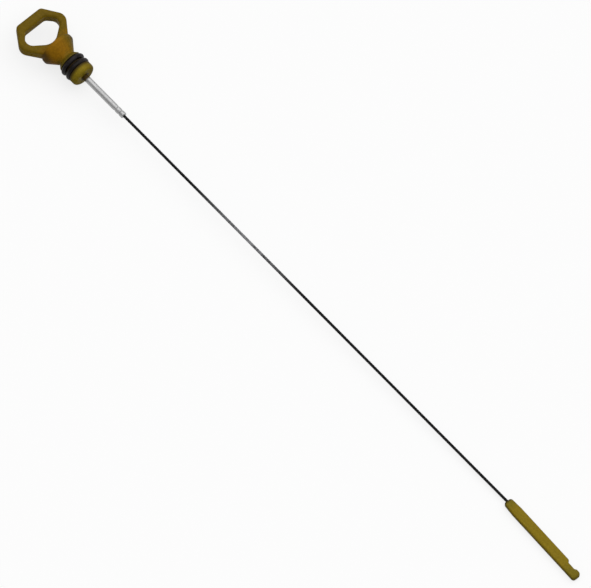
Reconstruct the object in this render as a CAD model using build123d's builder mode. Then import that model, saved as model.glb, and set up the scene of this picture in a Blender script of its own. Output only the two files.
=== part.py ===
# Engine oil dipstick, lying at rest on its stop collar and its level tip.
# Distances along the stick start at the far side of the finger ring. Millimetres, +Z up.
import os
from math import atan, cos, degrees, radians, sin

from build123d import *

os.makedirs("parts", exist_ok=True)

# Finger ring
ring_length = 25.3
ring_thick = 8.0
ring_far_half = 9.6
ring_wide_at = 13.3
ring_wide_half = 18.5
ring_margin = 1.5
ring_edge_r = 1.8
far_corner_r = 3.0
wide_corner_r = 6.0
far_bar = 6.2
far_inset = 1.8
side_bar = 4.0
near_bar = 4.8
hole_near_half = 5.0
hole_far_corner_r = 3.0
hole_wide_corner_r = 5.0

# Stop collar, cone and neck
collar_thick = 2.4
collar_d = 22.4
collar_edge_r = 0.5
root_r = 0.6
cone_length = 7.5
neck_d = 11.0
neck_r = 1.2

# Sealing rings
cord_d = 3.0
seat_gap = 0.02

# Plug with two ring grooves and a blunt nose
flare_length = 2.6
flange_thick = 0.9
flange_d = 15.0
groove_play = 0.5
groove_d = 11.0
rib_width = 0.6
rib_d = 13.4
nose_length = 5.1
nose_d = 15.8
nose_r = 2.2

# Metal sleeve and stem
sleeve_d = 4.0
sleeve_depth = 20.0
sleeve_out = 35.3
sleeve_edge = 0.3
crimp_r = 1.4
crimp_depth = 0.25
crimp_from_end = 3.3
crimp_pitch = 3.4
stem_d = 1.8
stem_out = 341.3

# Level tip
tip_length = 65.0
tip_width = 6.7
tip_root_width = 5.6
tip_taper = 9.0
tip_thick = 3.8
tip_edge_r = 1.2
tip_corner_r = 1.8
tip_hold = 16.0
tip_turn = 2.66
notch_from_end = 12.0
notch_length = 8.4
notch_depth = 1.4
notch_inner_r = 1.0
notch_outer_r = 1.6
nub_setback = 0.5
nub_corner_r = 2.2

# Where each feature starts along the stick
hole_near_at = ring_length - near_bar
collar_end = ring_length + collar_thick
neck_at = collar_end + cone_length
flange_at = neck_at + flare_length
groove_width = cord_d + groove_play
upper_groove = flange_at + flange_thick
lower_groove = upper_groove + groove_width + rib_width
nose_at = lower_groove + groove_width
nose_end = nose_at + nose_length
sleeve_start = nose_end - sleeve_depth
sleeve_end = nose_end + sleeve_out
tip_at = sleeve_end + stem_out
overall = tip_at + tip_length

# Half widths and radii that follow from the sizes above
ring_meet_half = collar_d / 2 - ring_margin
ring_slope = (ring_wide_half - ring_meet_half) / (ring_length - ring_wide_at)
ring_near_half = ring_meet_half - ring_slope * collar_thick
hole_far_half = ring_far_half - far_inset
hole_wide_half = ring_wide_half - side_bar
ring_seat = groove_d / 2 + seat_gap + cord_d / 2
crimp_centre = sleeve_d / 2 + crimp_r - crimp_depth

# Resting pose: the ring lies level, the stick slopes down from the collar's rim, and the tip lies flat
collar_touch = collar_end - collar_edge_r
tip_drop = (collar_d - tip_thick) / 2
rest_tilt = degrees(atan(tip_drop / (tip_at - collar_touch)))
axis_height = collar_d / 2 * cos(radians(rest_tilt)) + collar_touch * sin(radians(rest_tilt))

# The stick's own planes: flat through the ring, upright through the axis, and across it
stick = Plane((-overall / 2, 0, axis_height)).rotated((0, rest_tilt, 0))
upright = Plane(stick.origin, x_dir=stick.x_dir, z_dir=-stick.y_dir)
across = Plane(stick.origin, x_dir=stick.y_dir, z_dir=stick.x_dir)
stick_axis = Axis(stick.origin, stick.x_dir)
tip_root = across.offset(tip_at)
tip_flat = Plane(tip_root.origin).rotated((0, 0, -tip_turn))

with BuildPart() as handle:
    # Six-sided finger ring
    with BuildSketch(stick) as outline:
        with BuildLine():
            Polyline(
                (0, -ring_far_half),
                (0, ring_far_half),
                (ring_wide_at, ring_wide_half),
                (collar_end, ring_near_half),
                (collar_end, -ring_near_half),
                (ring_wide_at, -ring_wide_half),
                close=True,
            )
        make_face()
        fillet(outline.vertices().group_by(Axis.X)[0], far_corner_r)
        fillet(outline.vertices().group_by(Axis.Y)[0], wide_corner_r)
        fillet(outline.vertices().group_by(Axis.Y)[-1], wide_corner_r)
    extrude(amount=ring_thick / 2, both=True)
    # Finger hole, flat on its far side and rounded towards the collar
    with BuildSketch(stick) as hole:
        with BuildLine():
            far_side = Polyline(
                (hole_near_at, -hole_near_half),
                (ring_wide_at, -hole_wide_half),
                (far_bar, -hole_far_half),
                (far_bar, hole_far_half),
                (ring_wide_at, hole_wide_half),
                (hole_near_at, hole_near_half),
            )
            TangentArc(far_side @ 1, far_side @ 0, tangent=far_side % 1)
        make_face()
        fillet(hole.vertices().group_by(Axis.X)[0], hole_far_corner_r)
        fillet(hole.vertices().group_by(Axis.Y)[0], hole_wide_corner_r)
        fillet(hole.vertices().group_by(Axis.Y)[-1], hole_wide_corner_r)
    extrude(amount=ring_thick / 2, both=True, mode=Mode.SUBTRACT)
    # Rounded edges, except the two that end inside the collar
    ring_faces = handle.faces().filter_by(Axis(stick.origin, stick.z_dir))
    fillet(ring_faces.edges().sort_by(stick_axis)[:-2], ring_edge_r)
    # Round collar, cone, neck, grooved plug and nose
    with BuildSketch(upright) as turned:
        with BuildLine():
            Polyline(
                (ring_length, 0),
                (ring_length, collar_d / 2),
                (collar_end, collar_d / 2),
                (neck_at, neck_d / 2),
                (flange_at, flange_d / 2),
                (upper_groove, flange_d / 2),
                (upper_groove, groove_d / 2),
                (upper_groove + groove_width, groove_d / 2),
                (upper_groove + groove_width, rib_d / 2),
                (lower_groove, rib_d / 2),
                (lower_groove, groove_d / 2),
                (nose_at, groove_d / 2),
                (nose_at, nose_d / 2),
                (nose_end, nose_d / 2),
                (nose_end, 0),
                close=True,
            )
        make_face()
        fillet(turned.vertices().group_by(Axis.Y)[-1], collar_edge_r)
        fillet(turned.vertices().sort_by_distance((neck_at, neck_d / 2))[0], neck_r)
        fillet(turned.vertices().sort_by_distance((nose_end, nose_d / 2))[0], nose_r)
    revolve(axis=stick_axis)
    # Softened corner where the ring runs into the collar
    collar_top = stick.from_local_coords((ring_length, 0, collar_d / 2))
    collar_face = handle.faces().filter_by(stick_axis).sort_by_distance(collar_top)[0]
    fillet(collar_face.inner_wires().edges(), root_r)
    # Blind bore that holds the sleeve
    with BuildSketch(across.offset(sleeve_start)):
        Circle(sleeve_d / 2)
    extrude(amount=sleeve_depth, mode=Mode.SUBTRACT)
handle.part.label = "handle"
export_step(handle.part, "parts/handle.step")

with BuildPart() as upper_o_ring:
    with BuildSketch(upright):
        with Locations((upper_groove + groove_width / 2, ring_seat)):
            Circle(cord_d / 2)
    revolve(axis=stick_axis)
upper_o_ring.part.label = "upper_o_ring"
export_step(upper_o_ring.part, "parts/upper_o_ring.step")

with BuildPart() as lower_o_ring:
    with BuildSketch(upright):
        with Locations((lower_groove + groove_width / 2, ring_seat)):
            Circle(cord_d / 2)
    revolve(axis=stick_axis)
lower_o_ring.part.label = "lower_o_ring"
export_step(lower_o_ring.part, "parts/lower_o_ring.step")

with BuildPart() as sleeve:
    with BuildSketch(across.offset(sleeve_start)):
        Circle(sleeve_d / 2)
        Circle(stem_d / 2, mode=Mode.SUBTRACT)
    extrude(amount=sleeve_end - sleeve_start)
    end_face = sleeve.faces().sort_by(stick_axis)[-1]
    chamfer(end_face.outer_wire().edges(), sleeve_edge)
    # Two rolled crimps that grip the stem
    crimp_at = sleeve_end - crimp_from_end
    with BuildSketch(upright):
        with Locations((crimp_at, crimp_centre), (crimp_at - crimp_pitch, crimp_centre)):
            Circle(crimp_r)
    revolve(axis=stick_axis, mode=Mode.SUBTRACT)
sleeve.part.label = "sleeve"
export_step(sleeve.part, "parts/sleeve.step")

with BuildPart() as stem:
    with BuildSketch(across.offset(sleeve_start)):
        Circle(stem_d / 2)
    extrude(amount=tip_at + tip_hold - sleeve_start)
stem.part.label = "stem"
export_step(stem.part, "parts/stem.step")

with BuildPart() as level_tip:
    # Flat bar that widens from its root, with a level notch in one edge near its end
    edge = tip_width / 2
    notch_at = tip_length - notch_from_end
    notch_end = notch_at + notch_length
    notch_floor = edge - notch_depth
    nub_edge = edge - nub_setback
    with BuildSketch(tip_flat) as bar:
        with BuildLine():
            Polyline(
                (0, -tip_root_width / 2),
                (0, tip_root_width / 2),
                (tip_taper, edge),
                (notch_at, edge),
                (notch_at + notch_depth, notch_floor),
                (notch_end - notch_depth, notch_floor),
                (notch_end - nub_setback, nub_edge),
                (tip_length, nub_edge),
                (tip_length, -edge),
                (tip_taper, -edge),
                close=True,
            )
        make_face()
        fillet(bar.vertices().group_by(Axis.X)[0], tip_corner_r)
        fillet(bar.vertices().sort_by_distance((tip_length, -edge))[0], tip_corner_r)
        fillet(bar.vertices().sort_by_distance((tip_length, nub_edge))[0], nub_corner_r)
        fillet(bar.vertices().sort_by_distance((notch_at, edge))[0], notch_outer_r)
        fillet(bar.vertices().sort_by_distance((notch_end - nub_setback, nub_edge))[0], notch_outer_r)
        fillet(bar.vertices().sort_by_distance((notch_at + notch_depth, notch_floor))[0], notch_inner_r)
        fillet(bar.vertices().sort_by_distance((notch_end - notch_depth, notch_floor))[0], notch_inner_r)
    extrude(amount=tip_thick / 2, both=True)
    broad_faces = level_tip.faces().filter_by(Axis(tip_flat.origin, tip_flat.z_dir))
    fillet(broad_faces.edges(), tip_edge_r)
    # Bore moulded round the stem
    with BuildSketch(tip_root):
        Circle(stem_d / 2)
    extrude(amount=tip_hold, both=True, mode=Mode.SUBTRACT)
level_tip.part.label = "level_tip"
export_step(level_tip.part, "parts/level_tip.step")
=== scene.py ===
"""Dresses a packed engine oil dipstick: finishes for its mouldings, seals and sleeve, a twisted strand
for its stem, and a plain studio stage."""

import math

import bmesh
import bpy
from bpy.props import FloatProperty, FloatVectorProperty, IntProperty, PointerProperty
from mathutils import Matrix, Vector


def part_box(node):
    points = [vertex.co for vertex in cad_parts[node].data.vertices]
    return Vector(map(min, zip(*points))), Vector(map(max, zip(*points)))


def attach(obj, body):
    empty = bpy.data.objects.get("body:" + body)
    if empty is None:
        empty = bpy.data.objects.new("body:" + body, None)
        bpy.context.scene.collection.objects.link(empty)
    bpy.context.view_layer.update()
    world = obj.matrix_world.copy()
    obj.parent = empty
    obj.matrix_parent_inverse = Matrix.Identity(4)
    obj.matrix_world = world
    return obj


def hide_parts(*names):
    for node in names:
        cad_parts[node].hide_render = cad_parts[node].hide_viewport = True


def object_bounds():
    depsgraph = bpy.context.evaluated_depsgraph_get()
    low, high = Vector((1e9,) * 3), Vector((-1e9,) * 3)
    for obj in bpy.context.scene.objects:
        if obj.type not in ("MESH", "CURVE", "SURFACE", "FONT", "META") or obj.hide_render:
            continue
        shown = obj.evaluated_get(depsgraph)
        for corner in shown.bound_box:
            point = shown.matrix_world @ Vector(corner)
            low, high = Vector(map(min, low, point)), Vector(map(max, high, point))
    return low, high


bl_info = {
    "name": "Oil dipstick dresser",
    "version": (1, 0, 0),
    "blender": (4, 5, 0),
    "location": "3D View > Sidebar > Dipstick",
    "description": "Finishes the pieces of an oil dipstick and sets them on a plain studio stage",
    "category": "Object",
}

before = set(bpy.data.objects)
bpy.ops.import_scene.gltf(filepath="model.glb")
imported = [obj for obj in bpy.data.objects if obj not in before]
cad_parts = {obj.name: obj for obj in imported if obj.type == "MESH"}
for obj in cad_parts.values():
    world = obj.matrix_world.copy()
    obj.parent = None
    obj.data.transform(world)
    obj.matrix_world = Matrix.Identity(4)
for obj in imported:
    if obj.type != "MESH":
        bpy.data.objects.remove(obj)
cad_box = [list(corner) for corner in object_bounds()]

BODY = "root"

# Points this near each other are one point, and points this near a stem's end lie on its end circle
MERGE = 1e-6
END_REACH = 0.0005


# The stick's own frame: along its axis from ring to tip, across the flat of the ring, and up from it


def stem_line():
    """Start and end of the stem's axis, taken from the two end circles of its CAD node."""
    points = [v.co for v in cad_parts["stem"].data.vertices]
    ends = []
    for extreme in (min, max):
        x_end = extreme(p.x for p in points)
        circle = [p for p in points if abs(p.x - x_end) < END_REACH]
        low = Vector(tuple(min(p[i] for p in circle) for i in range(3)))
        high = Vector(tuple(max(p[i] for p in circle) for i in range(3)))
        ends.append((low + high) / 2)
    return ends


stem_start, stem_end = stem_line()
along = (stem_end - stem_start).normalized()
across = Vector((0, 1, 0))
above = along.cross(across)
stick_turn = Matrix((along, across, above)).transposed().to_euler()

ring_end, nose_end = (corner.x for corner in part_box("handle"))
seals_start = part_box("upper_o_ring")[0].x
seals_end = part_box("lower_o_ring")[1].x


# Settings


def colour(name, description, default):
    """A colour setting."""
    return FloatVectorProperty(
        name=name, description=description, default=default, subtype="COLOR", size=3, min=0, max=1
    )


def length(name, description, default):
    """A length setting, in metres."""
    return FloatProperty(
        name=name, description=description, default=default, unit="LENGTH", precision=5
    )


def share(name, description, default):
    """A setting from 0 to 1."""
    return FloatProperty(
        name=name, description=description, default=default, subtype="FACTOR", min=0, max=1
    )


def angle(name, description, default):
    """An angle setting, in radians."""
    return FloatProperty(name=name, description=description, default=default, subtype="ANGLE")


def strength(name, description, default):
    """A setting for the strength of a light."""
    return FloatProperty(name=name, description=description, default=default, min=0)


class HandleFinish(bpy.types.PropertyGroup):
    """Finish of the moulded handle."""

    ring_colour: colour("Ring", "Plastic of the finger ring", (0.132, 0.083, 0.0035))
    # Painted light: the ring's side walls take this paler colour, as if lit from the front.
    side_light_colour: colour(
        "Handled", "Paler plastic on the ring's sides, rubbed by fingers", (0.205, 0.130, 0.0054)
    )
    cone_colour: colour("Cone", "Warmer plastic of the collar and cone", (0.240, 0.112, 0.0022))
    # The neck's own colour, also painted down the +Y side from the collar on as painted shade.
    neck_and_side_shade_colour: colour(
        "Neck", "Oil-darkened plastic at the neck and down one side", (0.112, 0.078, 0.0050)
    )
    nose_colour: colour("Nose", "Plastic of the plug's nose", (0.160, 0.113, 0.0056))
    # Painted light: the nose's end takes this paler colour.
    painted_light_colour: colour(
        "Rubbed", "Paler plastic where the nose's end rubs on the tube", (0.203, 0.144, 0.0072)
    )
    # Painted shade: this dark colour goes on the collar's ends, between and beside the sealing rings, and
    # on the nose's end round the sleeve.
    painted_shade_colour: colour(
        "Grime", "Oily dirt on the collar's ends, at the sealing rings and round the sleeve",
        (0.026, 0.015, 0.0030)
    )
    # Painted shade: how much of the neck's colour goes down the +Y side.
    side_shade: share("Side stain", "Most of the neck's colour down the stained side", 0.8)
    # Painted shade: how dark the collar's ends get.
    painted_shade_share: share("Collar grime", "Most of the dirt on the collar's ends", 0.7)
    grain: length("Grain", "Size of the moulded grain", 0.00035)
    seam: length("Seam", "Width of the mould's parting line", 0.00022)


class SealFinish(bpy.types.PropertyGroup):
    """Finish of the two sealing rings."""

    rubber_colour: colour("Rubber", "Oiled black rubber", (0.0070, 0.0045, 0.0036))
    bloom_colour: colour("Bloom", "Greyish bloom on the rubber", (0.024, 0.020, 0.022))


class SleeveFinish(bpy.types.PropertyGroup):
    """Finish of the metal sleeve."""

    plate_colour: colour("Plating", "Bright plating", (0.46, 0.46, 0.46))
    dull_colour: colour("Dull spots", "Duller spots in the plating", (0.36, 0.36, 0.365))
    # The sleeve's root past the nose takes this dark brown colour and is not metal there.
    dark_root_colour: colour("Stain", "Oily dirt at the root of the sleeve", (0.050, 0.030, 0.0060))
    dark_root_reach: length("Stain reach", "Length of the stained root", 0.0030)
    drawn_roughness: share("Roughness", "Mean roughness of the drawn tube", 0.47)


class StrandSettings(bpy.types.PropertyGroup):
    """The stem's twisted strand."""

    diameter: length("Diameter", "Outside diameter of the strand", 0.0018)
    lay: length("Lay", "Length in which a wire goes once round", 0.0108)
    step: length("Step", "Distance between the points along a wire", 0.00048)
    wires: IntProperty(name="Wires", description="Wires round the core", default=6, min=3, max=12)
    black_colour: colour("Blackened", "Blackened steel", (0.0055, 0.0055, 0.006))
    # Painted highlight: a stretch of the strand, placed by the next two settings, takes this paler colour.
    painted_light_colour: colour("Rubbed", "Steel where the blackening is rubbed off", (0.26, 0.26, 0.27))
    highlight_at: length("Rubbed at", "Place of the most rubbed stretch, along X", -0.050)
    highlight_reach: length("Rubbed reach", "Half the length of the rubbed stretch", 0.052)


class TipFinish(bpy.types.PropertyGroup):
    """Finish of the level tip."""

    bar_colour: colour("Bar", "Plastic of the flat bar", (0.214, 0.149, 0.0078))
    end_colour: colour("Ends", "Darker plastic at the bar's root and end", (0.170, 0.127, 0.0085))
    # Painted shade: this dark colour goes along the bar's edges, at its far end and at its root.
    painted_shade_colour: colour("Grime", "Oily dirt along the bar's edges and ends", (0.052, 0.037, 0.0035))
    # Painted shade: how dark the bar's edges and far end get.
    painted_shade_share: share("Edge grime", "Most of the dirt on the bar's edges and far end", 0.2)
    grain: length("Grain", "Size of the moulded grain", 0.0005)


class StageSettings(bpy.types.PropertyGroup):
    """Floor, light and camera."""

    floor_colour: colour("Floor", "Pale floor as the camera sees it", (0.97, 0.97, 0.97))
    floor_glow: share("Floor glow", "Share of the floor's white that the shadow doesn't darken", 0.80)
    bounce_colour: colour("Bounce", "Floor as the light that bounces off it has it", (0.12, 0.12, 0.12))
    fill: strength("Fill", "Level of the light from all round", 0.42)
    key: strength("Key", "Strength of the soft lamp", 2.05)
    softness: angle("Softness", "Angle the lamp fills", 1.6)
    azimuth: angle("Azimuth", "Camera's way round", 0.841886)
    elevation: angle("Elevation", "Camera's height", 1.083881)
    distance: length("Distance", "Camera's distance", 10.0)
    view_width: length("View width", "Width of the view at the object", 0.35097)
    aim_right: length("Aim right", "Middle of the view to the right of the origin", -0.00417)
    aim_up: length("Aim up", "Middle of the view above the origin", 0.00373)


# Node helpers

# Stretches of a noise: where most of it lies, where patches come in, and where specks go dark to light
NOISE_MIDDLE = (0.3, 0.7)
PATCHES = (0.25, 0.6)
SPECKS = (0.25, 0.75)

# What the darkest speck leaves of a colour
DARKEST_SPECK = 0.82


def fill_in(tree, node, values):
    """Sets or links a node's inputs, by name or number."""
    for socket, value in values.items():
        if isinstance(value, bpy.types.NodeSocket):
            tree.links.new(value, node.inputs[socket])
        else:
            node.inputs[socket].default_value = value


def add(tree, kind, values=(), **options):
    """Adds a node, sets its options and fills in its inputs."""
    node = tree.nodes.new(kind)
    for option, choice in options.items():
        setattr(node, option, choice)
    fill_in(tree, node, dict(values))
    return node


def sums(tree, operation, first, second=0.0):
    """Output of a Math node."""
    return add(tree, "ShaderNodeMath", {0: first, 1: second}, operation=operation).outputs[0]


def opaque(rgb):
    """A colour with full alpha."""
    return (*rgb, 1.0)


def mixed(tree, amount, first, second, blend="MIX"):
    """Output of a colour mix."""
    values = {0: amount, 6: first, 7: second}
    return add(tree, "ShaderNodeMix", values, data_type="RGBA", blend_type=blend).outputs[2]


def noise(tree, place, size, detail=2.0, roughness=0.5):
    """Noise whose blotches are about the given size, in metres."""
    values = {"Vector": place, "Scale": 1 / size, "Detail": detail, "Roughness": roughness}
    return add(tree, "ShaderNodeTexNoise", values).outputs[0]


def ranged(tree, value, low, high, to_low=0.0, to_high=1.0, smooth=True):
    """A value carried from one range to another."""
    values = {0: value, 1: low, 2: high, 3: to_low, 4: to_high}
    kind = "SMOOTHSTEP" if smooth else "LINEAR"
    return add(tree, "ShaderNodeMapRange", values, interpolation_type=kind).outputs[0]


def varied(tree, pattern, low, high):
    """A value that a noise moves between two limits."""
    return ranged(tree, pattern, *NOISE_MIDDLE, low, high)


def ramp(tree, value, stops):
    """Colours set out along a value from 0 to 1."""
    node = add(tree, "ShaderNodeValToRGB", {0: value})
    elements = node.color_ramp.elements
    while len(elements) < len(stops):
        elements.new(1.0)
    for element, (place, rgb) in zip(elements, stops):
        element.position = place
        element.color = opaque(rgb)
    return node.outputs[0]


def speckled(tree, place, base, size, lightest):
    """A colour with small darker and lighter specks."""
    pattern = noise(tree, place, size, detail=4.0, roughness=0.7)
    shade = ranged(tree, pattern, *SPECKS, DARKEST_SPECK, lightest)
    grey = add(tree, "ShaderNodeCombineColor", {0: shade, 1: shade, 2: shade}).outputs[0]
    return mixed(tree, 1.0, base, grey, "MULTIPLY")


def bump(tree, height, depth):
    """Normal from a height."""
    return add(tree, "ShaderNodeBump", {"Strength": 1.0, "Distance": depth, "Height": height}).outputs[0]


def coordinate(tree, place, axis):
    """X, Y or Z of a place."""
    return add(tree, "ShaderNodeSeparateXYZ", {0: place}).outputs[axis]


def off_axis(tree, place, direction):
    """How far a place lies from the stick's axis along a direction."""
    values = {0: place, 1: direction}
    reach = add(tree, "ShaderNodeVectorMath", values, operation="DOT_PRODUCT").outputs["Value"]
    return sums(tree, "SUBTRACT", reach, stem_start.dot(direction))


def new_material(name):
    """An empty node material with its tree, Object coordinates and surface shader."""
    material = bpy.data.materials.new(name)
    material.use_nodes = True
    tree = material.node_tree
    tree.nodes.clear()
    place = add(tree, "ShaderNodeTexCoord").outputs["Object"]
    shader = add(tree, "ShaderNodeBsdfPrincipled")
    add(tree, "ShaderNodeOutputMaterial", {"Surface": shader.outputs[0]})
    return material, tree, place, shader


def dress(node, material):
    """Gives a CAD node its material."""
    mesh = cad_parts[node].data
    mesh.materials.clear()
    mesh.materials.append(material)


# Geometry node helpers


def new_tree(name, inputs, takes_mesh=False):
    """A geometry tree with named inputs, and the sockets that its nodes read them from."""
    tree = bpy.data.node_groups.new(name, "GeometryNodeTree")
    tree.is_modifier = True
    tree.interface.new_socket("Geometry", in_out="OUTPUT", socket_type="NodeSocketGeometry")
    if takes_mesh:
        tree.interface.new_socket("Geometry", in_out="INPUT", socket_type="NodeSocketGeometry")
    for label, kind in inputs.items():
        tree.interface.new_socket(label, in_out="INPUT", socket_type=kind)
    entry = tree.nodes.new("NodeGroupInput")
    return tree, entry.outputs


def tube(tree, curve, radius, sides):
    """A closed round tube along a curve."""
    section = add(tree, "GeometryNodeCurvePrimitiveCircle", {"Resolution": sides, "Radius": radius})
    values = {"Curve": curve, "Profile Curve": section.outputs[0], "Fill Caps": True}
    return add(tree, "GeometryNodeCurveToMesh", values).outputs[0]


def close_tree(tree, geometry, material):
    """Ends a tree with real geometry that is smooth and has its material."""
    real = add(tree, "GeometryNodeRealizeInstances", {0: geometry}).outputs[0]
    smooth = add(tree, "GeometryNodeSetShadeSmooth", {0: real}).outputs[0]
    values = {"Geometry": smooth, "Material": material}
    painted = add(tree, "GeometryNodeSetMaterial", values).outputs[0]
    add(tree, "NodeGroupOutput", {0: painted})


def grown(name, mesh, tree, values):
    """An object whose plain mesh is what the tree makes with these values."""
    piece = bpy.data.objects.new(name, mesh)
    bpy.context.scene.collection.objects.link(piece)
    modifier = piece.modifiers.new(name, "NODES")
    modifier.node_group = tree
    for socket in tree.interface.items_tree:
        if socket.in_out == "INPUT" and socket.name in values:
            modifier[socket.identifier] = values[socket.name]
    depsgraph = bpy.context.evaluated_depsgraph_get()
    made = bpy.data.meshes.new_from_object(piece.evaluated_get(depsgraph), depsgraph=depsgraph)
    piece.modifiers.remove(modifier)
    piece.data = made
    made.name = name
    if not made.polygons:
        raise RuntimeError(f"{name} has no faces")
    return piece


# Handle

# Where the colours and marks lie along the handle, as shares of its length from the ring's far side
RING_KEEPS = 0.40
CONE_FROM = 0.53
CONE_TO = 0.64
NECK_AT = 0.72
NOSE_AT = 0.88
# Painted light: the nose is painted paler from here to its end.
NOSE_LIT = 0.96
RING_FADES = (0.49, 0.45)
COLLAR_BEGINS = (0.47, 0.50)

# How far the blotches shift the colours along, from end to end
COLOUR_WANDER = 0.16

# Distances from the stick's axis over which the painted shade and light come in: two sideways, one up or
# down, one all round
SHADED_SIDE = (0.0, 0.0075)
COLLAR_ENDS = (0.0070, 0.0106)
RING_SIDES = (0.0039, 0.0024)
ROUND_SLEEVE = (0.0038, 0.0024)

# How far the painted shade reaches before and past the sealing rings, and how near the nose's end it comes
# in
SEAL_SHADE_BEFORE = 0.0004
SEAL_SHADE_PAST = 0.0028
NOSE_FACE = (0.0012, 0.0004)

# Least painted light on the ring's side walls, most painted shade round the sleeve, and the gloss of both
# mouldings
LEAST_SIDE_LIGHT = 0.6
MOST_SLEEVE_SHADE = 0.9
MOULDED_GLOSS = 0.07

# Where the parting line stops: at the nose's rounding, and at the sleeve's bore inside the handle
NOSE_ROUNDING = 0.0022
BORE_HALF = 0.0024
BORE_BACK = 0.02


def handle_colours(tree, finish, run, side, height, blotch):
    """Bare plastic from the ring to the nose, with painted shade down one side and painted light on the
    ring's side walls.
    """
    wander = sums(tree, "MULTIPLY", sums(tree, "SUBTRACT", blotch, 0.5), COLOUR_WANDER)
    base = ramp(tree, sums(tree, "ADD", run, wander), [
        (0.0, finish.ring_colour),
        (RING_KEEPS, finish.ring_colour),
        (CONE_FROM, finish.cone_colour),
        (CONE_TO, finish.cone_colour),
        (NECK_AT, finish.neck_and_side_shade_colour),
        (NOSE_AT, finish.nose_colour),
        (NOSE_LIT, finish.painted_light_colour),
    ])
    # Painted shade: the +Y side, from the collar on, is darkened towards the neck's colour.
    from_collar = ranged(tree, run, *COLLAR_BEGINS)
    side_shaded = sums(tree, "MULTIPLY", ranged(tree, side, *SHADED_SIDE), from_collar)
    side_shaded = sums(tree, "MULTIPLY", side_shaded, finish.side_shade)
    base = mixed(tree, side_shaded, base, opaque(finish.neck_and_side_shade_colour))
    # Painted light: the ring's side walls, but not its flat faces, turn paler.
    flank = ranged(tree, sums(tree, "ABSOLUTE", height), *RING_SIDES)
    side_lit = sums(tree, "MULTIPLY", flank, ranged(tree, run, *RING_FADES))
    side_lit = sums(tree, "MULTIPLY", side_lit, ranged(tree, blotch, *PATCHES, LEAST_SIDE_LIGHT, 1.0))
    return mixed(tree, side_lit, base, opaque(finish.side_light_colour))


def handle_painted_shade(tree, finish, x, run, side, height):
    """Share of painted shade on the collar's ends, at the sealing rings and round the sleeve."""
    outer = ranged(tree, sums(tree, "ABSOLUTE", side), *COLLAR_ENDS)
    collar = sums(tree, "MULTIPLY", outer, ranged(tree, run, *COLLAR_BEGINS))
    collar = sums(tree, "MULTIPLY", collar, finish.painted_shade_share)
    before = ranged(tree, x, seals_start - SEAL_SHADE_BEFORE, seals_start)
    past = ranged(tree, x, seals_end + SEAL_SHADE_PAST, seals_end)
    seals = sums(tree, "MULTIPLY", before, past)
    spread = add(tree, "ShaderNodeCombineXYZ", {0: height, 1: side}).outputs[0]
    radius = add(tree, "ShaderNodeVectorMath", {0: spread}, operation="LENGTH").outputs["Value"]
    face = ranged(tree, x, *(nose_end - depth for depth in NOSE_FACE))
    sleeve = sums(tree, "MULTIPLY", face, ranged(tree, radius, *ROUND_SLEEVE, 0.0, MOST_SLEEVE_SHADE))
    return sums(tree, "MAXIMUM", collar, sums(tree, "MAXIMUM", seals, sleeve))


def moulded_plastic(finish):
    """Dark mustard plastic, warmer at the cone, with a fine grain, oily blotches, and painted light and
    shade.
    """
    material, tree, place, shader = new_material("mustard_moulding")
    x = coordinate(tree, place, "X")
    run = ranged(tree, x, ring_end, nose_end, smooth=False)
    side = off_axis(tree, place, across)
    height = off_axis(tree, place, above)
    blotch = noise(tree, place, size=0.007, detail=3.0)
    grain = noise(tree, place, finish.grain, detail=3.0, roughness=0.6)
    base = handle_colours(tree, finish, run, side, height, blotch)
    spotted = speckled(tree, place, base, size=0.0016, lightest=1.16)
    # Painted shade on the collar's ends, at the sealing rings and round the sleeve.
    dark_mask = handle_painted_shade(tree, finish, x, run, side, height)
    fill_in(tree, shader, {
        "Base Color": mixed(tree, dark_mask, spotted, opaque(finish.painted_shade_colour)),
        "Roughness": varied(tree, blotch, low=0.46, high=0.62),
        "Specular IOR Level": MOULDED_GLOSS,
        "Normal": bump(tree, grain, depth=0.00006),
    })
    return material


def parting_line(finish, material):
    """Fine bead where the two halves of the mould met, along the ring, its hole, the cone and the nose."""
    section = bmesh.new()
    section.from_mesh(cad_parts["handle"].data)
    bmesh.ops.remove_doubles(section, verts=section.verts, dist=MERGE)
    geometry = section.verts[:] + section.edges[:] + section.faces[:]
    bmesh.ops.bisect_plane(
        section, geom=geometry, dist=MERGE, plane_co=stem_start, plane_no=above,
        clear_inner=True, clear_outer=True,
    )
    bmesh.ops.remove_doubles(section, verts=section.verts, dist=MERGE)
    hidden = [
        edge for edge in section.edges
        if seals_start < (middle := (edge.verts[0].co + edge.verts[1].co) / 2).x < seals_end
        or middle.x > nose_end - NOSE_ROUNDING
        or abs((middle - stem_start).dot(across)) < BORE_HALF and middle.x > seals_start - BORE_BACK
    ]
    bmesh.ops.delete(section, geom=hidden, context="EDGES")
    mesh = bpy.data.meshes.new("parting_line")
    section.to_mesh(mesh)
    section.free()

    tree, sizes = new_tree("bead_on_edges", {"Width": "NodeSocketFloat"}, takes_mesh=True)
    path = add(tree, "GeometryNodeMeshToCurve", {0: sizes["Geometry"]}).outputs[0]
    bead = tube(tree, path, sums(tree, "DIVIDE", sizes["Width"], 2.0), sides=6)
    close_tree(tree, bead, material)
    line = grown("handle_parting_line", mesh, tree, {"Width": finish.seam})
    for vertex in line.data.vertices:
        vertex.co = [min(max(value, low), high) for value, low, high in zip(vertex.co, *cad_box)]
    return line


class DIPSTICK_OT_handle(bpy.types.Operator):
    """Finish the moulded handle and its parting line"""

    bl_idname = "dipstick.handle"
    bl_label = "Finish handle"

    def execute(self, context):
        finish = context.scene.dipstick_handle
        material = moulded_plastic(finish)
        dress("handle", material)
        bead = parting_line(finish, material)
        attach(bead, BODY)
        return {"FINISHED"}


# Sealing rings

# Stretch of a noise over which the bloom comes in
BLOOM = (0.4, 0.75)


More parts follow.
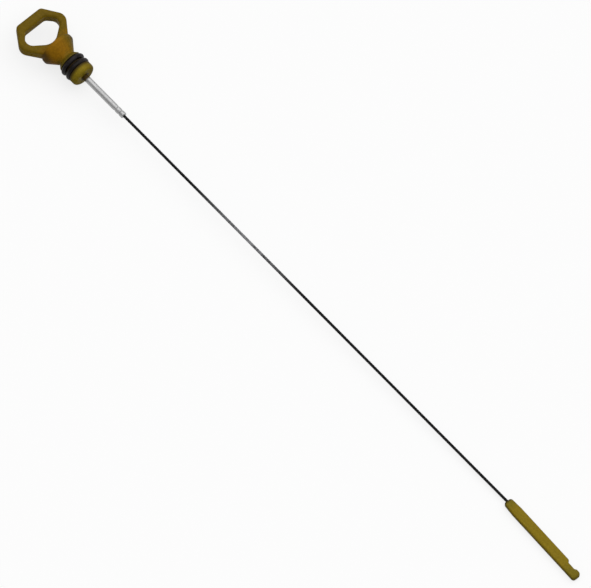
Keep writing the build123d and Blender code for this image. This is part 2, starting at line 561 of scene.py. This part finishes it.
def seal_rubber(finish):
    """Black rubber with a faint grey bloom."""
    material, tree, place, shader = new_material("seal_rubber")
    cloud = noise(tree, place, size=0.004, detail=4.0, roughness=0.65)
    fine = noise(tree, place, size=0.0004)
    bloom = ranged(tree, cloud, *BLOOM)
    fill_in(tree, shader, {
        "Base Color": mixed(tree, bloom, opaque(finish.rubber_colour), opaque(finish.bloom_colour)),
        "Roughness": varied(tree, cloud, low=0.34, high=0.50),
        "Specular IOR Level": 0.14,
        "Normal": bump(tree, fine, depth=0.00002),
    })
    return material


class DIPSTICK_OT_seals(bpy.types.Operator):
    """Finish the two sealing rings"""

    bl_idname = "dipstick.seals"
    bl_label = "Finish seals"

    def execute(self, context):
        material = seal_rubber(context.scene.dipstick_seals)
        dress("upper_o_ring", material)
        dress("lower_o_ring", material)
        return {"FINISHED"}


# Sleeve

# Stretch of a noise over which the dull spots come in, and how far they shift the mean roughness
DULL_SPOTS = (0.5, 0.75)
ROUGHNESS_SPREAD = 0.08

# Width of the drawn lines as a share of their length
DRAWN_SHAPE = 0.02

# Where the dark root fades out, before and past its reach, and how ragged its edge is
DARK_ROOT_EDGE = (-0.0006, 0.0009)
DARK_ROOT_RAGGED = 0.0006


def drawn_tube(finish):
    """Bright plated tube with fine lines drawn along it, dark brown and not metal at its root."""
    material, tree, place, shader = new_material("bright_tube")
    values = {"Vector": place, "Scale": (DRAWN_SHAPE, 1.0, 1.0)}
    stretched = add(tree, "ShaderNodeMapping", values).outputs[0]
    lines = noise(tree, stretched, size=0.00035, detail=3.0)
    spots = noise(tree, place, size=0.003, detail=4.0, roughness=0.6)
    dull = ranged(tree, spots, *DULL_SPOTS)
    plating = mixed(tree, dull, opaque(finish.plate_colour), opaque(finish.dull_colour))
    # The root, past the nose's end, is dark brown and not metal.
    dark_root_end = nose_end + finish.dark_root_reach
    wander = sums(tree, "MULTIPLY", spots, DARK_ROOT_RAGGED)
    ragged = sums(tree, "ADD", coordinate(tree, place, "X"), wander)
    past_dark_root = ranged(tree, ragged, *(dark_root_end + edge for edge in DARK_ROOT_EDGE))
    mean = finish.drawn_roughness
    fill_in(tree, shader, {
        "Base Color": mixed(tree, past_dark_root, opaque(finish.dark_root_colour), plating),
        "Metallic": past_dark_root,
        "Specular IOR Level": 0.1,
        "Roughness": varied(tree, spots, mean - ROUGHNESS_SPREAD, mean + ROUGHNESS_SPREAD),
        "Normal": bump(tree, lines, depth=0.00004),
    })
    return material


class DIPSTICK_OT_sleeve(bpy.types.Operator):
    """Finish the metal sleeve"""

    bl_idname = "dipstick.sleeve"
    bl_label = "Finish sleeve"

    def execute(self, context):
        dress("sleeve", drawn_tube(context.scene.dipstick_sleeve))
        return {"FINISHED"}


# Stem

# A strand of one core and one layer is three wires across
WIRES_ACROSS = 3.0
WIRE_SIDES = 8


def blackened_wire(settings):
    """Blackened steel wire, with a painted highlight over a stretch of the stem."""
    material, tree, place, shader = new_material("blackened_wire")
    # Painted highlight: paler steel over a stretch of the stem, broken into patches.
    off_middle = sums(tree, "SUBTRACT", coordinate(tree, place, "X"), settings.highlight_at)
    near = ranged(tree, sums(tree, "ABSOLUTE", off_middle), settings.highlight_reach, 0.0)
    highlight_patches = noise(tree, place, size=0.0022, detail=4.0, roughness=0.7)
    painted_light = sums(tree, "MULTIPLY", near, ranged(tree, highlight_patches, *PATCHES))
    film = noise(tree, place, size=0.012, detail=3.0)
    fill_in(tree, shader, {
        "Base Color": mixed(tree, painted_light, opaque(settings.black_colour), opaque(settings.painted_light_colour)),
        "Metallic": 0.4,
        "Roughness": varied(tree, film, low=0.38, high=0.55),
        "Specular IOR Level": 0.2,
    })
    return material


def strand_tree(material):
    """Tree that twists wires round a straight core."""
    tree, sizes = new_tree("twisted_strand", {
        "Length": "NodeSocketFloat",
        "Diameter": "NodeSocketFloat",
        "Lay": "NodeSocketFloat",
        "Step": "NodeSocketFloat",
        "Wires": "NodeSocketInt",
        "Start": "NodeSocketVector",
        "Turn": "NodeSocketVector",
    })
    helix_radius = sums(tree, "DIVIDE", sizes["Diameter"], WIRES_ACROSS)
    wire_radius = sums(tree, "DIVIDE", sizes["Diameter"], 2 * WIRES_ACROSS)

    # One wire on its helix, and the core
    far_end = add(tree, "ShaderNodeCombineXYZ", {0: sizes["Length"]}).outputs[0]
    core_line = add(tree, "GeometryNodeCurvePrimitiveLine", {"End": far_end}).outputs[0]
    values = {"Curve": core_line, "Length": sizes["Step"]}
    points = add(tree, "GeometryNodeResampleCurve", values, mode="LENGTH").outputs[0]
    x = coordinate(tree, add(tree, "GeometryNodeInputPosition").outputs[0], "X")
    twist = sums(tree, "MULTIPLY", sums(tree, "DIVIDE", x, sizes["Lay"]), math.tau)
    y = sums(tree, "MULTIPLY", sums(tree, "COSINE", twist), helix_radius)
    z = sums(tree, "MULTIPLY", sums(tree, "SINE", twist), helix_radius)
    outward = add(tree, "ShaderNodeCombineXYZ", {1: y, 2: z}).outputs[0]
    values = {"Geometry": points, "Offset": outward}
    helix = add(tree, "GeometryNodeSetPosition", values).outputs[0]
    wire = tube(tree, helix, wire_radius, WIRE_SIDES)
    core = tube(tree, core_line, wire_radius, WIRE_SIDES)

    # The wires set round the core, and the whole strand laid along the stem
    starts = add(tree, "GeometryNodePoints", {"Count": sizes["Wires"]}).outputs[0]
    index = add(tree, "GeometryNodeInputIndex").outputs[0]
    phase = sums(tree, "MULTIPLY", sums(tree, "DIVIDE", index, sizes["Wires"]), math.tau)
    turned = add(tree, "ShaderNodeCombineXYZ", {0: phase}).outputs[0]
    values = {"Points": starts, "Instance": wire, "Rotation": turned}
    layer = add(tree, "GeometryNodeInstanceOnPoints", values).outputs[0]
    bundle = add(tree, "GeometryNodeJoinGeometry")
    tree.links.new(layer, bundle.inputs[0])
    tree.links.new(core, bundle.inputs[0])
    values = {"Geometry": bundle.outputs[0], "Translation": sizes["Start"], "Rotation": sizes["Turn"]}
    placed = add(tree, "GeometryNodeTransform", values).outputs[0]
    close_tree(tree, placed, material)
    return tree


class DIPSTICK_OT_strand(bpy.types.Operator):
    """Twist the stem's strand out of its wires"""

    bl_idname = "dipstick.strand"
    bl_label = "Twist strand"

    def execute(self, context):
        settings = context.scene.dipstick_strand
        tree = strand_tree(blackened_wire(settings))
        strand = grown("stem_strand", bpy.data.meshes.new("stem_strand"), tree, {
            "Length": (stem_end - stem_start).length,
            "Diameter": settings.diameter,
            "Lay": settings.lay,
            "Step": settings.step,
            "Wires": settings.wires,
            "Start": stem_start,
            "Turn": stick_turn,
        })
        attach(strand, BODY)
        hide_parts("stem")
        return {"FINISHED"}


# Level tip

# Distances from the bar's root, its far end and its two flats over which marks come in
ROOT_DARKENS = (0.010, 0.0)
END_DARKENS = (0.014, 0.003)
ROOT_SHADE = (0.0024, 0.0006)
END_SHADE = (0.0020, 0.0006)
EDGE_SHADE = (0.00004, 0.0006)

# How much the blotches add to the darkening of the ends, and the sums over which that comes in
DARK_WANDER = 0.5
DARK_SUMS = (0.3, 1.1)

# Least painted shade on the edges, as a share of the most
LEAST_EDGE_SHADE = 0.6


def tip_plastic(finish):
    """Mustard plastic of the level tip, darker at its two ends, with painted shade along its edges, at its
    far end and at its root.
    """
    material, tree, place, shader = new_material("tip_moulding")
    low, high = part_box("level_tip")
    x = coordinate(tree, place, "X")
    blotch = noise(tree, place, size=0.006, detail=3.0)
    grain = noise(tree, place, finish.grain, detail=3.0, roughness=0.6)

    root = ranged(tree, x, *(low.x + reach for reach in ROOT_DARKENS))
    end = ranged(tree, x, *(high.x - reach for reach in END_DARKENS))
    wander = sums(tree, "MULTIPLY", blotch, DARK_WANDER)
    dark = sums(tree, "ADD", sums(tree, "MAXIMUM", root, end), wander)
    dark = ranged(tree, dark, *DARK_SUMS)
    base = mixed(tree, dark, opaque(finish.bar_colour), opaque(finish.end_colour))
    spotted = speckled(tree, place, base, size=0.0013, lightest=1.14)

    # Painted shade along the bar's edges, at its far end and at its root.
    half_thick = (high.z - low.z) / 2
    off_middle = sums(tree, "SUBTRACT", coordinate(tree, place, "Z"), (low.z + high.z) / 2)
    depths = (half_thick - depth for depth in EDGE_SHADE)
    sides = ranged(tree, sums(tree, "ABSOLUTE", off_middle), *depths)
    far_end = ranged(tree, x, *(high.x - reach for reach in END_SHADE))
    patchy = ranged(tree, blotch, *PATCHES, LEAST_EDGE_SHADE * finish.painted_shade_share, finish.painted_shade_share)
    edges = sums(tree, "MULTIPLY", sums(tree, "MAXIMUM", sides, far_end), patchy)
    near_root = ranged(tree, x, *(low.x + reach for reach in ROOT_SHADE))
    dark_mask = sums(tree, "MAXIMUM", edges, near_root)
    fill_in(tree, shader, {
        "Base Color": mixed(tree, dark_mask, spotted, opaque(finish.painted_shade_colour)),
        "Roughness": varied(tree, blotch, low=0.48, high=0.64),
        "Specular IOR Level": MOULDED_GLOSS,
        "Normal": bump(tree, grain, depth=0.00008),
    })
    return material


class DIPSTICK_OT_tip(bpy.types.Operator):
    """Finish the level tip"""

    bl_idname = "dipstick.tip"
    bl_label = "Finish level tip"

    def execute(self, context):
        dress("level_tip", tip_plastic(context.scene.dipstick_tip))
        return {"FINISHED"}


# Stage

# The floor's half width, its gap under the object and the way to the lamp
FLOOR_REACH = 40.0
FLOOR_GAP = 0.00002
LAMP_FROM = Vector((0.10, 0.34, 0.93))

# How far the camera sees, in times its distance
SIGHT = 10


def floor(settings):
    """A wide pale floor that takes the shadow and bounces less light than it shows."""
    corners = [(x * FLOOR_REACH, y * FLOOR_REACH, 0) for x, y in ((-1, -1), (1, -1), (1, 1), (-1, 1))]
    mesh = bpy.data.meshes.new("floor")
    mesh.from_pydata(corners, [], [(0, 1, 2, 3)])
    ground = bpy.data.objects.new("floor", mesh)
    bpy.context.scene.collection.objects.link(ground)
    material, tree, _, shader = new_material("pale_floor")
    rays = add(tree, "ShaderNodeLightPath").outputs
    shown = sums(tree, "MAXIMUM", rays["Is Camera Ray"], rays["Is Glossy Ray"])
    shown = sums(tree, "MAXIMUM", shown, rays["Is Transmission Ray"])
    lit_colour = [part * (1 - settings.floor_glow) for part in settings.floor_colour]
    fill_in(tree, shader, {
        "Base Color": mixed(tree, shown, opaque(settings.bounce_colour), opaque(lit_colour)),
        "Roughness": 1.0,
        "Specular IOR Level": 0.0,
        "Emission Color": opaque(settings.floor_colour),
        "Emission Strength": sums(tree, "MULTIPLY", shown, settings.floor_glow),
    })
    mesh.materials.append(material)
    ground.location.z = cad_box[0][2] - FLOOR_GAP


def lights(settings):
    """Even light from all round and one broad soft lamp from high on the far side."""
    world = bpy.data.worlds.new("studio")
    world.use_nodes = True
    background = world.node_tree.nodes["Background"]
    fill_in(world.node_tree, background, {"Color": opaque((1, 1, 1)), "Strength": settings.fill})
    bpy.context.scene.world = world
    lamp = bpy.data.lights.new("soft_lamp", "SUN")
    lamp.energy = settings.key
    lamp.angle = settings.softness
    holder = bpy.data.objects.new("soft_lamp", lamp)
    holder.rotation_mode = "QUATERNION"
    holder.rotation_quaternion = LAMP_FROM.to_track_quat("Z", "Y")
    bpy.context.scene.collection.objects.link(holder)


def camera(settings):
    """Long-lens camera at the photograph's angle."""
    azimuth, elevation = settings.azimuth, settings.elevation
    right = Vector((math.cos(azimuth), math.sin(azimuth), 0))
    back = Vector((
        math.sin(azimuth) * math.cos(elevation),
        -math.cos(azimuth) * math.cos(elevation),
        math.sin(elevation),
    ))
    up = back.cross(right)
    data = bpy.data.cameras.new("camera")
    data.lens = data.sensor_width * settings.distance / settings.view_width
    data.clip_end = SIGHT * settings.distance
    holder = bpy.data.objects.new("camera", data)
    holder.matrix_world = Matrix((right, up, back)).transposed().to_4x4()
    holder.location = right * settings.aim_right + up * settings.aim_up + back * settings.distance
    bpy.context.scene.collection.objects.link(holder)
    bpy.context.scene.camera = holder


class DIPSTICK_OT_stage(bpy.types.Operator):
    """Set the floor, the light and the camera"""

    bl_idname = "dipstick.stage"
    bl_label = "Set stage"

    def execute(self, context):
        settings = context.scene.dipstick_stage
        floor(settings)
        lights(settings)
        camera(settings)
        context.scene.view_settings.view_transform = "Standard"
        return {"FINISHED"}


# Sidebar and registration

OPERATORS = (
    DIPSTICK_OT_handle,
    DIPSTICK_OT_seals,
    DIPSTICK_OT_sleeve,
    DIPSTICK_OT_strand,
    DIPSTICK_OT_tip,
    DIPSTICK_OT_stage,
)
SETTINGS = {
    "dipstick_handle": HandleFinish,
    "dipstick_seals": SealFinish,
    "dipstick_sleeve": SleeveFinish,
    "dipstick_strand": StrandSettings,
    "dipstick_tip": TipFinish,
    "dipstick_stage": StageSettings,
}


class DIPSTICK_PT_sidebar(bpy.types.Panel):
    """Lists the settings and the steps"""

    bl_idname = "DIPSTICK_PT_sidebar"
    bl_label = "Oil dipstick"
    bl_space_type = "VIEW_3D"
    bl_region_type = "UI"
    bl_category = "Dipstick"

    def draw(self, context):
        for (pointer, group), operator in zip(SETTINGS.items(), OPERATORS):
            box = self.layout.box()
            for setting in group.__annotations__:
                box.prop(getattr(context.scene, pointer), setting)
            box.operator(operator.bl_idname)


def register():
    for pointer, group in SETTINGS.items():
        bpy.utils.register_class(group)
        setattr(bpy.types.Scene, pointer, PointerProperty(type=group))
    for operator in OPERATORS:
        bpy.utils.register_class(operator)
    bpy.utils.register_class(DIPSTICK_PT_sidebar)


def unregister():
    bpy.utils.unregister_class(DIPSTICK_PT_sidebar)
    for operator in reversed(OPERATORS):
        bpy.utils.unregister_class(operator)
    for pointer, group in SETTINGS.items():
        delattr(bpy.types.Scene, pointer)
        bpy.utils.unregister_class(group)


def main():
    register()
    bpy.ops.dipstick.handle()
    bpy.ops.dipstick.seals()
    bpy.ops.dipstick.sleeve()
    bpy.ops.dipstick.strand()
    bpy.ops.dipstick.tip()
    bpy.ops.dipstick.stage()


if __name__ == "__main__":
    main()
